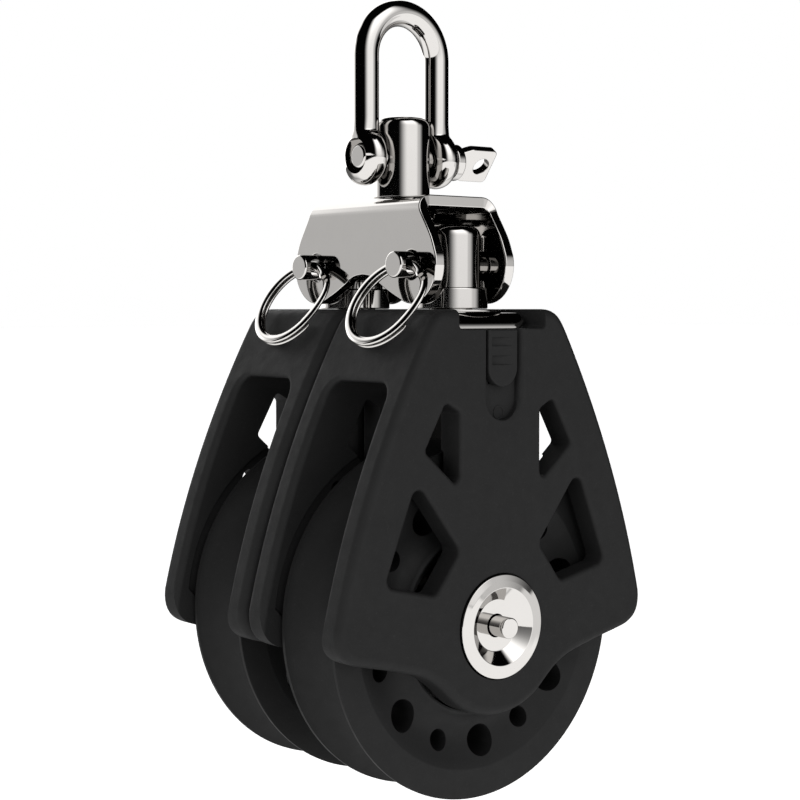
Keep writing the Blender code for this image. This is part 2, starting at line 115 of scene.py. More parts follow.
# ---------------------------------------------------------------- camera and stage
def add_camera():
    data = bpy.data.cameras.new("view")
    data.lens, data.sensor_width = 79.47, 36
    data.clip_start, data.clip_end = 0.005, 50
    obj = bpy.data.objects.new("view", data)
    bpy.context.scene.collection.objects.link(obj)
    yaw, pitch = math.radians(VIEW_YAW), math.radians(VIEW_PITCH)
    way = Vector((math.sin(yaw) * math.cos(pitch), math.cos(yaw) * math.cos(pitch), math.sin(pitch)))
    obj.location = (-0.09646, -0.1225, -0.02472)
    obj.rotation_mode = "QUATERNION"
    obj.rotation_quaternion = way.to_track_quat("-Z", "Y")
    bpy.context.scene.camera = obj
    bpy.context.scene.view_settings.view_transform = "Standard"


# ---------------------------------------------------------------- mesh helpers
def mesh_object(name, verts, faces, weld=1e-4):
    mesh = bpy.data.meshes.new(name)
    mesh.from_pydata([Vector(v) for v in verts], [], faces)
    bm = bmesh.new()
    bm.from_mesh(mesh)
    bmesh.ops.remove_doubles(bm, verts=bm.verts, dist=weld)
    bmesh.ops.recalc_face_normals(bm, faces=bm.faces)
    if bm.calc_volume(signed=True) < 0:
        bmesh.ops.reverse_faces(bm, faces=bm.faces)
    bm.to_mesh(mesh)
    bm.free()
    obj = bpy.data.objects.new(name, mesh)
    bpy.context.scene.collection.objects.link(obj)
    return obj


AXES = {
    "X": lambda r, c, s, a: (a, r * c, r * s),
    "Y": lambda r, c, s, a: (r * s, a, r * c),
    "Z": lambda r, c, s, a: (r * c, r * s, a),
}
PLANES = {
    "XZ": lambda u, v, a: (u, a, v),
    "YZ": lambda u, v, a: (a, u, v),
    "XY": lambda u, v, a: (u, v, a),
}


def lathe(name, profile, axis, n, turn=0.0):
    """Closed (radius, along) profile turned about an axis through the origin."""
    verts, index = [], []
    for r, a in profile:
        if r < 1e-6:
            index.append([len(verts)] * n)
            verts.append(AXES[axis](0, 1, 0, a))
            continue
        row = []
        for k in range(n):
            t = 2 * math.pi * k / n + turn
            row.append(len(verts))
            verts.append(AXES[axis](r, math.cos(t), math.sin(t), a))
        index.append(row)
    faces = []
    for i in range(len(profile)):
        a, b = index[i], index[(i + 1) % len(profile)]
        for k in range(n):
            face = list(dict.fromkeys([a[k], a[(k + 1) % n], b[(k + 1) % n], b[k]]))
            if len(face) > 2:
                faces.append(face)
    return mesh_object(name, verts, faces)


def loft(name, rings, weld=1e-4):
    n = len(rings[0])
    verts = [p for ring in rings for p in ring]
    faces = []
    for i in range(len(rings) - 1):
        for k in range(n):
            j = (k + 1) % n
            faces.append([i * n + k, i * n + j, (i + 1) * n + j, (i + 1) * n + k])
    faces.append(list(range(n))[::-1])
    faces.append([(len(rings) - 1) * n + k for k in range(n)])
    return mesh_object(name, verts, faces, weld)


def area(points):
    return 0.5 * sum(points[i - 1][0] * p[1] - p[0] * points[i - 1][1] for i, p in enumerate(points))


def inset(points, d):
    """Outline moved in by d, or out when d is negative."""
    sign = 1 if area(points) > 0 else -1
    out = []
    for i in range(len(points)):
        p0, p1, p2 = Vector(points[i - 1]), Vector(points[i]), Vector(points[(i + 1) % len(points)])
        a, b = (p1 - p0).normalized(), (p2 - p1).normalized()
        na, nb = Vector((-a.y, a.x)) * sign, Vector((-b.y, b.x)) * sign
        m = na + nb
        m *= 1 / max(m.dot(na), 0.3)
        out.append(tuple(p1 + m * d))
    return out


def prism(name, outline, a0, a1, plane, r0=0.0, r1=0.0, steps=4):
    """Outline extruded from a0 to a1, with either end's edge rounded by its own radius."""
    rings = []

    def ring(d, a):
        rings.append([PLANES[plane](u, v, a) for u, v in (inset(outline, d) if d else outline)])

    way = 1 if a1 > a0 else -1
    for end, at, r, s in ((0, a0, r0, way), (1, a1, r1, -way)):
        if r == 0:
            ring(0, at)
            continue
        for k in range(steps + 1) if end == 0 else range(steps, -1, -1):
            t = math.pi / 2 * k / steps
            ring(r * (1 - math.sin(t)), at + s * r * (1 - math.cos(t)))
    return loft(name, rings)


def flared(name, outline, half, plane, r, steps=6):
    """Cutter through both faces at +-half, opened out by a quarter round of radius r at each face."""
    rings = []

    def ring(d, a):
        rings.append([PLANES[plane](u, v, a) for u, v in (inset(outline, -d) if d else outline)])

    ring(r + 0.5, -half - 0.5)
    for k in range(steps + 1):
        t = math.pi / 2 * k / steps
        ring(r * (1 - math.sin(t)), -half + r * (1 - math.cos(t)))
    for k in range(steps, -1, -1):
        t = math.pi / 2 * k / steps
        ring(r * (1 - math.sin(t)), half - r * (1 - math.cos(t)))
    ring(r + 0.5, half + 0.5)
    return loft(name, rings)


def well(name, outline, floor, face, plane, r, steps=5):
    """Cutter from a floor up through a face, opened out by a quarter round of radius r at the face."""
    way = 1 if face > floor else -1
    rings = [[PLANES[plane](u, v, floor) for u, v in outline]]
    for k in range(steps, -1, -1):
        t = math.pi / 2 * k / steps
        shape = inset(outline, -r * (1 - math.sin(t))) if k < steps else outline
        rings.append([PLANES[plane](u, v, face - way * r * (1 - math.cos(t))) for u, v in shape])
    rings.append([PLANES[plane](u, v, face + way * 0.5) for u, v in inset(outline, -r - 0.5)])
    return loft(name, rings)


def box(name, low, high):
    (x0, y0, z0), (x1, y1, z1) = low, high
    return prism(name, [(x0, z0), (x1, z0), (x1, z1), (x0, z1)], y0, y1, "XZ")


def arc(cx, cy, r, a0, a1, n):
    at = [math.radians(a0 + (a1 - a0) * k / n) for k in range(n + 1)]
    return [(cx + r * math.cos(t), cy + r * math.sin(t)) for t in at]


def bezier(p0, p1, p2, p3, n):
    out = []
    for k in range(n + 1):
        t = k / n
        w = ((1 - t) ** 3, 3 * t * (1 - t) ** 2, 3 * t * t * (1 - t), t**3)
        out.append(tuple(sum(wi * p[j] for wi, p in zip(w, (p0, p1, p2, p3))) for j in (0, 1)))
    return out


def spline(points, n):
    """Smooth curve through an open row of points."""
    pts = [Vector(p) for p in points]
    pts = [2 * pts[0] - pts[1]] + pts + [2 * pts[-1] - pts[-2]]
    out = []
    for i in range(1, len(pts) - 2):
        a, b, c, d = pts[i - 1 : i + 3]
        for k in range(n):
            t = k / n
            out.append(
                tuple(
                    0.5
                    * (
                        2 * b
                        + (c - a) * t
                        + (2 * a - 5 * b + 4 * c - d) * t * t
                        + (3 * b - a - 3 * c + d) * t**3
                    )
                )
            )
    return out + [tuple(pts[-2])]


def rounded(points, r, steps=6):
    """Polygon with every corner rounded by r, or by its own radius, given third."""
    out = []
    n = len(points)
    for i in range(n):
        p = Vector(points[i][:2])
        a = (Vector(points[i - 1][:2]) - p).normalized()
        b = (Vector(points[(i + 1) % n][:2]) - p).normalized()
        rr = points[i][2] if len(points[i]) > 2 else r
        if rr <= 0:
            out.append(tuple(p))
            continue
        half = a.angle(b) / 2
        start, end = p + a * rr / math.tan(half), p + b * rr / math.tan(half)
        centre = p + (a + b).normalized() * rr / math.sin(half)
        t0 = math.atan2(start.y - centre.y, start.x - centre.x)
        t1 = math.atan2(end.y - centre.y, end.x - centre.x)
        turn = (t1 - t0 + math.pi) % (2 * math.pi) - math.pi
        for k in range(steps + 1):
            t = t0 + turn * k / steps
            out.append((centre.x + rr * math.cos(t), centre.y + rr * math.sin(t)))
    return out


def fillet(profile, radii, steps=5):
    """Profile with the corners named by index rounded: {index: radius}."""
    return rounded([(p[0], p[1], radii.get(i, 0)) for i, p in enumerate(profile)], 0, steps)


def combine(obj, others, operation):
    """Exact boolean of obj with each of the others, which are used up."""
    for other in others:
        mod = obj.modifiers.new("join", "BOOLEAN")
        mod.operation = operation
        mod.solver = "EXACT"
        mod.object = other
    bpy.context.view_layer.update()
    graph = bpy.context.evaluated_depsgraph_get()
    mesh = bpy.data.meshes.new_from_object(obj.evaluated_get(graph))
    obj.modifiers.clear()
    obj.data = mesh
    for other in others:
        bpy.data.objects.remove(other, do_unlink=True)
    return obj


def cut(obj, *others):
    return combine(obj, others, "DIFFERENCE")


def join(obj, *others):
    return combine(obj, others, "UNION")


def move(obj, by):
    obj.data.transform(Matrix.Translation(Vector(by)))
    return obj


def cylinder(name, r, a0, a1, axis, n, centre=(0, 0, 0), turn=0.0):
    return move(lathe(name, [(0, a0), (r, a0), (r, a1), (0, a1)], axis, n, turn), centre)


def drill(r, half, axis, n, centre=(0, 0, 0), flare=0.1):
    """Round cutter through faces at +-half, with a small flare at each."""
    prof = [(0, -half - 1), (r + flare, -half - 1)]
    arc_in = [
        (r + flare * (1 - math.sin(t)), -half + flare * (1 - math.cos(t)))
        for t in (0, 0.52, 1.05, 1.57)
    ]
    prof += arc_in + [(a, -b) for a, b in reversed(arc_in)]
    prof += [(r + flare, half + 1), (0, half + 1)]
    return move(lathe("drill", prof, axis, n, OFF_GRID), centre)


# ---------------------------------------------------------------- materials
class Graph:
    """Short hand for building a material's nodes."""

    def __init__(self, tree):
        self.tree = tree

    def add(self, kind, inputs=(), **settings):
        node = self.tree.nodes.new(kind)
        for key, value in settings.items():
            setattr(node, key, value)
        for key, value in dict(inputs).items():
            self.put(node.inputs[key], value)
        return node

    def put(self, socket, value):
        if isinstance(value, bpy.types.NodeSocket):
            self.tree.links.new(value, socket)
        else:
            socket.default_value = value

    def math(self, operation, a, b=0.0):
        return self.add("ShaderNodeMath", {0: a, 1: b}, operation=operation).outputs[0]

    def ramp(self, value, low, high, to_low=0.0, to_high=1.0, smooth=False):
        node = self.add(
            "ShaderNodeMapRange",
            {"Value": value, "From Min": low, "From Max": high, "To Min": to_low, "To Max": to_high},
        )
        node.interpolation_type = "SMOOTHSTEP" if smooth else "LINEAR"
        return node.outputs["Result"]


def new_material(name):
    mat = bpy.data.materials.new(name)
    mat.use_nodes = True
    graph = Graph(mat.node_tree)
    shader = mat.node_tree.nodes["Principled BSDF"]
    place = graph.add("ShaderNodeTexCoord").outputs["Object"]
    return mat, graph, shader, place


def noise(graph, place, scale, detail=3.0, rough=0.55):
    node = graph.add("ShaderNodeTexNoise", {"Scale": scale, "Detail": detail, "Roughness": rough})
    graph.put(node.inputs["Vector"], place)
    return node.outputs[0]


def nylon(name, dark, light, rough, grain):
    """Moulded nylon: cloudy base colour, pale fibre flecks, fine sparked grain."""
    mat, g, shader, place = new_material(name)
    cloud = noise(g, place, 260.0, 4.0)
    fleck = noise(g, place, 5200.0, 2.0, 0.6)
    fleck_mask = g.ramp(fleck, 0.62, 0.74)
    tone = g.add(
        "ShaderNodeMix",
        {"Factor": g.ramp(cloud, 0.35, 0.65), 6: (*dark, 1), 7: (*light, 1)},
        data_type="RGBA",
    ).outputs[2]
    bright = [min(1.0, c * 1.7) for c in light]
    tone = g.add(
        "ShaderNodeMix",
        {"Factor": g.math("MULTIPLY", fleck_mask, 0.55), 6: tone, 7: (*bright, 1)},
        data_type="RGBA",
    ).outputs[2]
    g.put(shader.inputs["Base Color"], tone)
    g.put(shader.inputs["Roughness"], g.ramp(noise(g, place, 900.0), 0.3, 0.7, rough - 0.05, rough + 0.07))
    shader.inputs["Specular IOR Level"].default_value = 0.18
    pits = g.add("ShaderNodeTexVoronoi", {"Scale": 4300.0, "Vector": place}).outputs["Distance"]
    height = g.math("ADD", g.math("MULTIPLY", pits, 0.6), noise(g, place, 2600.0, 3.0))
    bump = g.add("ShaderNodeBump", {"Strength": grain, "Distance": 0.00003, "Height": height})
    g.put(shader.inputs["Normal"], bump.outputs[0])
    return mat


def steel(name, rough=0.05):
    """Polished stainless: warm mirror with faint polishing scuffs and uneven gloss."""
    mat, g, shader, place = new_material(name)
    shader.inputs["Metallic"].default_value = 1.0
    cloud = noise(g, place, 420.0, 4.0)
    tone = g.add(
        "ShaderNodeMix",
        {"Factor": cloud, 6: (0.765, 0.742, 0.718, 1), 7: (0.80, 0.778, 0.752, 1)},
        data_type="RGBA",
    ).outputs[2]
    g.put(shader.inputs["Base Color"], tone)
    stretched = g.add("ShaderNodeMapping", {"Vector": place, "Scale": (1.0, 1.0, 0.06)}).outputs[0]
    scuff = noise(g, stretched, 3800.0, 2.0, 0.7)
    both = g.math("ADD", g.math("MULTIPLY", scuff, 0.5), g.math("MULTIPLY", cloud, 0.5))
    g.put(shader.inputs["Roughness"], g.ramp(both, 0.3, 0.7, rough * 0.6, rough * 1.5))
    bump = g.add("ShaderNodeBump", {"Strength": 0.05, "Distance": 0.000004, "Height": scuff})
    g.put(shader.inputs["Normal"], bump.outputs[0])
    return mat


def acetal(name, colour, rough):
    mat, g, shader, place = new_material(name)
    cloud = noise(g, place, 700.0, 3.0)
    tone = g.add(
        "ShaderNodeMix",
        {"Factor": cloud, 6: (*[c * 0.92 for c in colour], 1), 7: (*colour, 1)},
        data_type="RGBA",
    ).outputs[2]
    g.put(shader.inputs["Base Color"], tone)
    g.put(shader.inputs["Roughness"], g.ramp(cloud, 0.3, 0.7, rough - 0.04, rough + 0.05))
    bump = g.add(
        "ShaderNodeBump",
        {"Strength": 0.1, "Distance": 0.00001, "Height": noise(g, place, 3500.0)},
    )
    g.put(shader.inputs["Normal"], bump.outputs[0])
    return mat


CASE = nylon("black_nylon_moulded", (0.0128, 0.0128, 0.0129), (0.0142, 0.0142, 0.0143), 0.6, 0.3)
SLIDE = nylon("black_nylon_slider", (0.0132, 0.0132, 0.0133), (0.0147, 0.0147, 0.0148), 0.56, 0.25)
WHEEL = nylon("black_nylon_turned", (0.0115, 0.0115, 0.0116), (0.0128, 0.0128, 0.0129), 0.5, 0.18)
STEEL = steel("polished_stainless")
CAGE = acetal("black_acetal", (0.03, 0.03, 0.03), 0.4)
BALL = acetal("white_acetal", (0.72, 0.72, 0.69), 0.28)


# ---------------------------------------------------------------- placing a finished piece
def smooth(obj, angle):
    """Smooth shading with flat faces kept flat; done in millimetres, where face areas are not tiny."""
    mesh = obj.data
    bm = bmesh.new()
    bm.from_mesh(mesh)
    bmesh.ops.remove_doubles(bm, verts=bm.verts, dist=2e-4)
    bmesh.ops.dissolve_degenerate(bm, edges=bm.edges, dist=2e-4)
    bm.to_mesh(mesh)
    bm.free()
    for poly in mesh.polygons:
        poly.use_smooth = True
    mesh.set_sharp_from_angle(angle=math.radians(angle))
    mod = obj.modifiers.new("faces", "WEIGHTED_NORMAL")
    mod.keep_sharp = True
    mod.weight = 80
    done = bpy.data.meshes.new_from_object(obj.evaluated_get(bpy.context.evaluated_depsgraph_get()))
    obj.modifiers.clear()
    obj.data = done


def finish_piece(obj, node, body, mat, place):
    """Takes a piece to metres and its place, and lets it stand for its CAD node on that node's body."""
    obj.data.transform(Matrix.Diagonal((0.001, 0.001, 0.001, 1)) @ place)
    obj.data.name = obj.name = "look_" + node
    obj.data.materials.clear()
    obj.data.materials.append(mat)
    for poly in obj.data.polygons:
        poly.material_index = 0
    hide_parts(node)
    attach(obj, body)
    return obj


HEAD_PLACE = Matrix.Translation((0, 0, -HANG))
BLOCK_PLACE = {
    "front": Matrix.Translation((0, -BLOCK_Y, -HANG)),
    "rear": Matrix.Translation((0, BLOCK_Y, -HANG)) @ Matrix.Rotation(math.pi, 4, "Z"),
}


# ---------------------------------------------------------------- the case
def side(z):
    """Half width of the case at height z."""
    return 16.935 - 0.205 * z - 0.0071 * z * z


def case_outline():
    """Cheek seen from the front: hub arc, sloping lower edge, full corner, leaning side, round hood."""
    half = arc(0, 0, 7.5, -90, -56, 9)
    x, z = half[-1]
    half += bezier((x, z), (x + 1.08, z + 0.73), (6.29, -3.784), (8.8, -3.095), 9)[1:]
    half += [(11.2, -2.435), (13.6, -1.9)]
    half += bezier((14.5, -1.68), (15.95, -1.33), (16.83, -0.45), (side(1.5), 1.5), 10)
    half += [(side(z), z) for z in [1.5 + 22.1 * k / 24 for k in range(1, 24)]]
    half += bezier((side(23.6), 23.6), (7.3, 25.06), (6.85, HOOD_TOP), (5.2, HOOD_TOP), 10)
    return half + [(-x, z) for x, z in reversed(half[1:])]


def mirrored(points):
    return [(-x, z) for x, z in points]


UPPER = rounded([(5.85, 18.75), (8.0, 14.9), (4.72, 12.0), (4.42, 12.7), (4.42, 17.95)], 0.4, 5)
LOWER = rounded([(8.85, 12.55), (12.05, 4.4), (6.85, 3.2), (4.35, 6.6)], 0.7, 6)


def rim_cutter(sx):
    """Rounds the rim of the rope opening on one side of the case, up both cheeks and under the hood."""
    c, corner = 0.62, 1.5
    path = []
    for k in range(15):
        path.append((-CHEEK_IN, -6 + (HOOD_LOW - corner + 6) * k / 15, -1.0, 0.0))
    for k in range(9):
        t = math.radians(180 - 90 * k / 8)
        path.append(
            (-CHEEK_IN + corner + corner * math.cos(t), HOOD_LOW - corner + corner * math.sin(t),
             math.cos(t), math.sin(t))
        )
    path += [(-y, z, -ny, nz) for y, z, ny, nz in reversed(path)]
    rings = []
    shape = [(-c, -0.5)]
    for k in range(7):
        t = math.pi / 2 * k / 6
        shape.append((-c + c * math.sin(t), c - c * math.cos(t)))
    shape += [(1.2, c + 0.02), (1.2, -0.5)]
    for y, z, ny, nz in path:
        ring = []
        for e, d in shape:
            zz = z + nz * d
            ring.append((sx * (side(max(zz, 0.5)) + e), y + ny * d, zz))
        rings.append(ring)
    return loft("rim", rings)


def make_case():
    body = prism("case", case_outline(), -HALF, HALF, "XZ", EDGE_R, EDGE_R, 6)
    rope = rounded(
        [(-CHEEK_IN, -12, 0), (CHEEK_IN, -12, 0), (CHEEK_IN, HOOD_LOW), (-CHEEK_IN, HOOD_LOW)], 1.5, 8
    )
    cuts = [prism("rope", rope, -18, 18, "YZ"), rim_cutter(1), rim_cutter(-1)]
    recess = arc(0, 0, SHEAVE_R + 0.4, 6, 90, 30)
    low = bezier((1.8, -5.9), (5.2, -5.4), (4.4, -2.7), (8.6, -1.7), 8)
    low += bezier((12.0, -0.75), (13.6, -0.3), (14.6, 0.1), (side(1.5) - 1.75, 1.5), 6)[:-1]
    outline = low + recess
    outline = outline + [(-x, z) for x, z in reversed(outline[:-1])]
    cuts.append(prism("recess", outline, -RECESS_IN, RECESS_IN, "XZ", 0.3, 0.3, 4))
    for shape in (UPPER, LOWER):
        for pts in (shape, mirrored(shape)):
            cuts.append(flared("window", pts, HALF, "XZ", WINDOW_R))
    channel = rounded([(-4.5, 24.7), (4.95, 24.7), (4.95, 28, 0), (-4.5, 28, 0)], 0.35, 4)
    cuts.append(flared("channel", channel, HALF, "XZ", 0.16, 4))
    leg = arc(0, 0, 3.75, 180, 360, 24) + [(3.75, 24.9), (-3.75, 24.9)]
    slot0, slot1 = STRAP_OUT - STRAP_T - 0.12, STRAP_OUT + 0.12
    cuts.append(prism("leg", leg, -slot1, -slot0, "XZ"))
    cuts.append(prism("leg", leg, slot0, slot1, "XZ"))
    cuts.append(cylinder("pocket", 3.4, 22.6, 26, "Z", 48))
    cuts.append(cylinder("bore", AXLE_R + 0.12, -8, 8, "Y", 48))
    for s in (-1, 1):
        ring = arc(0, 0, CAP_R + 0.07, 0, 360, 96)[:-1]
        cuts.append(well("seat", ring, s * (HALF - 1.15), s * HALF, "XZ", 0.1, 3))
    for x, size, flare in ((0.2, 1.86, 0.12), (0.62, 1.44, 0.6)):
        track = arc(x, 19.0, size, 180, 360, 20) + [(x + size, 27), (x - size, 27)]
        cuts.append(well("track", track, TRACK_FLOOR, -HALF, "XZ", flare))
    cuts.append(box("lug_way", (-0.9, -6.2, 20.12), (0.9, -3, 24.45)))
    body = cut(body, *cuts)
    mark = lathe(
        "mark",
        fillet([(0.42, 0.3), (0.42, -0.06), (0.62, -0.06), (0.62, 0.3)], {1: 0.05, 2: 0.05}, 2),
        "Y", 36,
    )
    return join(body, move(mark, (0.3, TRACK_FLOOR, 17.75)))


# ---------------------------------------------------------------- folded plates
def folded(name, outline, half, top, t, r_out, plane, holes=(), edge=0.1):
    """Flat blank (along, across) with rounded edges, folded down at both sides into an inverted U.

    along runs over the top from the middle; the U lies in the plane's own (u, z)."""
    flat = half - r_out
    mid_r = r_out - t / 2
    bend = mid_r * math.pi / 2
    body = prism(name, outline, -t / 2, t / 2, "XY", edge, edge, 3)
    if holes:
        body = cut(body, *holes)
    bm = bmesh.new()
    bm.from_mesh(body.data)
    for s in (-1, 1):
        for k in range(11):
            bmesh.ops.bisect_plane(
                bm,
                geom=bm.verts[:] + bm.edges[:] + bm.faces[:],
                dist=1e-5,
                plane_co=(s * (flat + bend * k / 10), 0, 0),
                plane_no=(1, 0, 0),
            )
    for v in bm.verts:
        s, w, n = v.co
        sign, far = (1 if s > 0 else -1), abs(s) - flat
        if far <= 0:
            u, z = s, top - t / 2 + n
        elif far <= bend:
            turn = far / mid_r
            u = sign * (flat + (mid_r + n) * math.sin(turn))
            z = top - r_out + (mid_r + n) * math.cos(turn)
        else:
            u, z = sign * (half - t / 2 + n), top - r_out - (far - bend)
        v.co = (u, w, z) if plane == "XZ" else (w, u, z)
    bmesh.ops.recalc_face_normals(bm, faces=bm.faces)
    bm.to_mesh(body.data)
    bm.free()
    return body


def along(z, half, top, t, r_out):
    """Distance along the blank of a point at height z on a leg."""
    mid_r = r_out - t / 2
    straight = half - r_out + mid_r * math.pi / 2 + (top - r_out - z)
    if z <= top - r_out:
        return straight
    turn = math.acos(min(1.0, (z - top + r_out) / mid_r))
    return half - r_out + mid_r * turn


def make_strap():
    o, t, top, r = STRAP_OUT, STRAP_T, STRAP_TOP, 1.3
    down = [(z, x) for x, z in ((3.55, 0.0), (3.55, SLOT_HIGH), (4.35, 25.1))]
    leg = [(-3.55 * math.cos(a), 3.55 * math.sin(a)) for a in [math.pi / 2 * k / 14 for k in range(14)]]
    quarter = [(along(z, o, top, t, r), x) for z, x in leg]
    quarter += [(along(z, o, top, t, r), x) for z, x in down]
    shape = quarter + [(-s, x) for s, x in reversed(quarter)]
    shape += [(-s, -x) for s, x in quarter[1:]] + [(s, -x) for s, x in reversed(quarter[1:])]
    holes = [cylinder("hole", 1.97, -3, 3, "Z", 64)]
    for s in (-1, 1):
        centre = (s * along(0, o, top, t, r), 0, 0)
        holes.append(cylinder("hole", AXLE_R + 0.07, -3, 3, "Z", 48, centre))
    a, b = along(SLOT_HIGH, o, top, t, r), along(SLOT_LOW, o, top, t, r)
    holes.append(prism("slot", [(-b, -1.1), (-a, -1.1), (-a, 1.1), (-b, 1.1)], -3, 3, "XY"))
    return folded("strap", shape, o, top, t, r, "YZ", holes, 0.12)


def make_bracket():
    o, t, top, r = FLANGE_X, PLATE_T, PLATE_TOP, 1.4
    low = spline([(0, 29.25), (0.9, 29.15), (1.7, 28.9), (2.5, 28.42), (4.0, 27.66), (5.405, 27.06)], 4)
    end = arc(BLOCK_Y, 30.05, 3.3, 245, 375, 30)
    rise = spline([end[-1], (9.35, 32.4), (8.1, 34.3), (7.76, 34.9), (7.6, 35.3)], 5)
    edge = low[:-1] + end + rise[1:]
    quarter = []
    for y, z in edge:
        if z < top - t / 2 - 0.02:
            quarter.append((along(z, o, top, t, r), y))
    quarter.append((o - r, 7.57))
    shape = quarter + [(-s, y) for s, y in reversed(quarter)]
    shape += [(-s, -y) for s, y in quarter[1:]] + [(s, -y) for s, y in reversed(quarter[1:])]
    holes = [drill(2.0, t / 2, "Z", 96, flare=0.12)]
    for s in (-1, 1):
        for w in (-1, 1):
            centre = (s * along(CLEVIS_Z, o, top, t, r), w * BLOCK_Y, 0)
            holes.append(drill(CLEVIS_HOLE, t / 2, "Z", 64, centre, 0.1))
    return folded("bracket", shape, o, top, t, r, "XZ", holes, 0.11)


# ---------------------------------------------------------------- turned pieces
def make_post():
    prof = [(0, 23.0), (3.05, 23.0), (3.05, 25.02), (1.85, 25.02), (1.85, 26.32)]
    prof += [(COLLAR_R, 26.32), (COLLAR_R, 28.12), (POST_R, 28.14), (POST_R, 33.3), (0, 33.3)]
    prof = fillet(prof, {1: 0.2, 2: 0.2, 5: 0.12, 6: 0.16, 8: 0.8}, 8)
    body = lathe("post", prof, "Z", 112)
    hole = cylinder("hole", CLEVIS_HOLE, -6, 6, "X", 56, (0, 0, CLEVIS_Z), OFF_GRID)
    return cut(body, hole)


def make_cap(proud):
    y = HALF
    if proud:
        prof = [(1.0, y - 1.05), (CAP_R, y - 1.05), (CAP_R, y + 0.19), (3.8, y + 0.285)]
        prof += [(3.25, y + 0.35), (2.16, y - 0.6), (1.0, y - 0.6)]
        prof = fillet(prof, {1: 0.1, 2: 0.07, 3: 2.0, 4: 0.09, 5: 0.12}, 5)
    else:
        prof = [(1.0, y - 1.05), (CAP_R, y - 1.05), (CAP_R, y - 0.03), (1.0, y - 0.03)]
        prof = fillet(prof, {1: 0.1, 2: 0.12}, 4)
    return lathe("cap", prof, "Y", 128)


def make_rivet():
    tip, end = -RIVET_TIP, HALF - 0.05
    prof = [(0, tip), (RIVET_R, tip), (RIVET_R, end), (0, end)]
    return lathe("rivet", fillet(prof, {1: 0.12, 2: 0.08}, 5), "Y", 64)


def make_sheave():
    c = 15.67
    rho = c - 12.3
    groove = []
    for k in range(19):
        y = 3.3 * math.cos(math.pi * k / 18)
        groove.append((c - math.sqrt(rho * rho - y * y), y))
    face = SHEAVE_HALF
    dish = spline([(12.58, -face), (12.0, -3.44), (11.2, -3.14), (10.3, -2.87), (9.5, -2.78),
                   (8.8, -2.88), (8.2, -3.2), (7.86, -3.5)], 4)
    rim = fillet([(9, 0), (12.58, -face), (SHEAVE_R, -face), (groove[-1][0], -3.3)], {2: 0.05}, 4)
    near = [(BORE_R, -face + 0.02), (7.7, -face + 0.02)] + dish[::-1] + rim[2:-1]
    prof = near + groove[::-1] + [(r, -y) for r, y in reversed(near)]
    body = lathe("sheave", prof, "Y", 144)
    cuts = []
    for k in range(14):
        t = math.radians(175.4 + 360 / 14 * k)
        at = (10.35 * math.sin(t), 0, 10.35 * math.cos(t))
        size = 1.35 if k % 2 == 0 else 0.9
        cuts.append(cylinder("hole", size, -6, 6, "Y", 36, at, t + 0.02))
    return cut(body, *cuts)


def make_tube(r0, r1, a):
    return lathe("tube", fillet([(r0, -a), (r1, -a), (r1, a), (r0, a)], {1: 0.12, 2: 0.12}, 3), "Y", 72)


def make_cage():
    body = lathe("cage", fillet([(5.65, -1.55), (7.15, -1.55), (7.15, 1.55), (5.65, 1.55)],
                                {0: 0.15, 1: 0.15, 2: 0.15, 3: 0.15}, 3), "Y", 96, 0.011)
    holes = []
    for k in range(BALLS // 2):
        hole = cylinder("hole", BALL_R + 0.17, -9, 9, "Z", 28)
        hole.data.transform(Matrix.Rotation(2 * math.pi * k / BALLS, 4, "Y"))
        holes.append(hole)
    return cut(body, *holes)


def make_ball(k):
    bm = bmesh.new()
    bmesh.ops.create_icosphere(bm, subdivisions=4, radius=BALL_R)
    mesh = bpy.data.meshes.new("ball")
    bm.to_mesh(mesh)
    bm.free()
    obj = bpy.data.objects.new("ball", mesh)
    bpy.context.scene.collection.objects.link(obj)
    t = 2 * math.pi * k / BALLS
    return move(obj, (BALL_PITCH * math.sin(t), 0, BALL_PITCH * math.cos(t)))


def make_slider():
    """Lock slider: round-ended plate in the track, two ramped finger scoops, lug behind."""
    face = -HALF - SLIDER_PROUD
    plate = arc(0.1, 21.5, 1.58, 180, 360, 28)
    plate += arc(1.56, 24.53, 0.12, 0, 90, 3) + arc(-1.36, 24.53, 0.12, 90, 180, 3)
    body = prism("slider", plate, face, face + 0.7, "XZ", 0.14, 0, 4)
    body = join(body, box("lug", (-0.75, face + 0.5, 22.7), (0.75, -3.45, 24.35)))
    scoops = []
    for low, high in ((21.7, 22.5), (23.25, 24.0)):
        wedge = [(-1.15, face - 0.3), (1.2, face - 0.3), (1.2, face - 0.004), (-1.15, face + 0.34)]
        scoops.append(prism("scoop", wedge, low, high, "XY", 0.06, 0.06, 2))
    return cut(body, *scoops)


def make_clevis(sign):
    prof = [(0, -6.25), (CLEVIS_R, -6.25), (CLEVIS_R, 4.5), (1.85, 4.5), (1.85, 5.3), (0, 5.3)]
    prof = fillet(prof, {1: 0.17, 3: 0.06, 4: 0.3}, 5)
    body = move(lathe("clevis", prof, "X", 72), (0, sign * BLOCK_Y, CLEVIS_Z))
    ring = fillet([(0, -12), (0.78, -12), (0.78, 12), (0, 12)], {}, 1)
    hole = move(lathe("hole", ring, "Y", 32, 0.02), (RING_X, 0, CLEVIS_Z))
    return cut(body, hole)


def ring_frame(sign):
    lean = Matrix.Rotation(math.radians(RING_LEAN), 4, "Y")
    yaw = Matrix.Rotation(math.radians(RING_YAW), 4, "Z")
    return Matrix.Translation(Vector((RING_X, sign * BLOCK_Y, CLEVIS_Z - 0.02))) @ yaw @ lean


